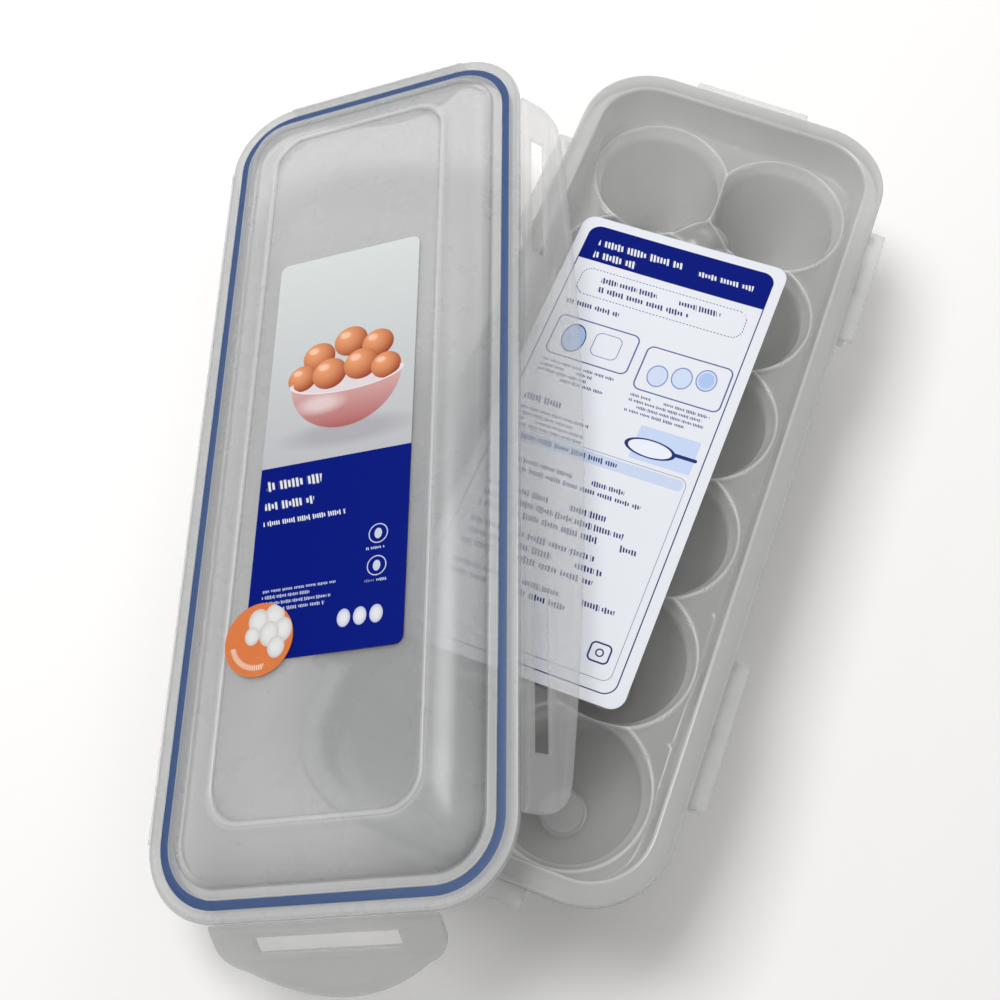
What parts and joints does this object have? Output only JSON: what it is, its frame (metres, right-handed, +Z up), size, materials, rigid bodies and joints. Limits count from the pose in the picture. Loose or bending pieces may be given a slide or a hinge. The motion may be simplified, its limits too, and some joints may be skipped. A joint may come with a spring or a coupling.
{
  "type": "egg storage container",
  "caption": "Long frosted plastic egg keeper: a rimmed tray of egg cups with its four-flap sealed lid off and leaning across it, and a printed leaflet on the cups.",
  "frame": {"origin": "middle of the whole outline in X and Y, on the table under the cup feet", "axes": "+Y along the tray's length to its far end, +X across the tray to its free long side, +Z up"},
  "size_m": [0.2532, 0.361, 0.081],
  "materials": {
    "frosted_plastic": "frosted translucent polypropylene, smooth",
    "blue_seal": "satin, soft",
    "label_print": "printed film label, satin",
    "sticker_print": "printed film sticker, satin",
    "leaflet_print": "coated paper, printed"
  },
  "bodies": {
    "tray": {"tray": "frosted_plastic"},
    "lid": {"lid_shell": "frosted_plastic", "seal_ring": "blue_seal", "label": "label_print", "round_sticker": "sticker_print"},
    "left_flap": {"flap_left": "frosted_plastic"},
    "right_flap": {"flap_right": "frosted_plastic"},
    "near_flap": {"flap_near": "frosted_plastic"},
    "far_flap": {"flap_far": "frosted_plastic"},
    "leaflet": {"leaflet": "leaflet_print"}
  },
  "joints": [
    {"name": "lid_lift", "type": "slide", "parent": "tray", "child": "lid", "axis": [0, 0, 1], "range_m": [0, 0.12]},
    {"name": "right_flap_hinge", "type": "hinge", "parent": "lid", "child": "right_flap", "pos_m": [0.02885, 0.00777, 0.07709], "axis": [-0.3574, 0.9338, -0.0186], "range_deg": [-103, 0]},
    {"name": "left_flap_hinge", "type": "hinge", "parent": "lid", "child": "left_flap", "pos_m": [-0.07819, -0.03413, 0.03058], "axis": [0.3574, -0.9338, 0.0186], "range_deg": [-111, 24]},
    {"name": "near_flap_hinge", "type": "hinge", "parent": "lid", "child": "near_flap", "pos_m": [0.03173, -0.16053, 0.05677], "axis": [0.8632, 0.3379, 0.3751], "range_deg": [-91, 44]},
    {"name": "far_flap_hinge", "type": "hinge", "parent": "lid", "child": "far_flap", "pos_m": [-0.08108, 0.13416, 0.0509], "axis": [-0.8632, -0.3379, -0.3751], "range_deg": [-123, 12]},
    {"name": "leaflet_slide", "type": "slide", "parent": "tray", "child": "leaflet", "axis": [0.0244, 0.9997, 0], "range_m": [-0.03, 0.03]}
  ]
}
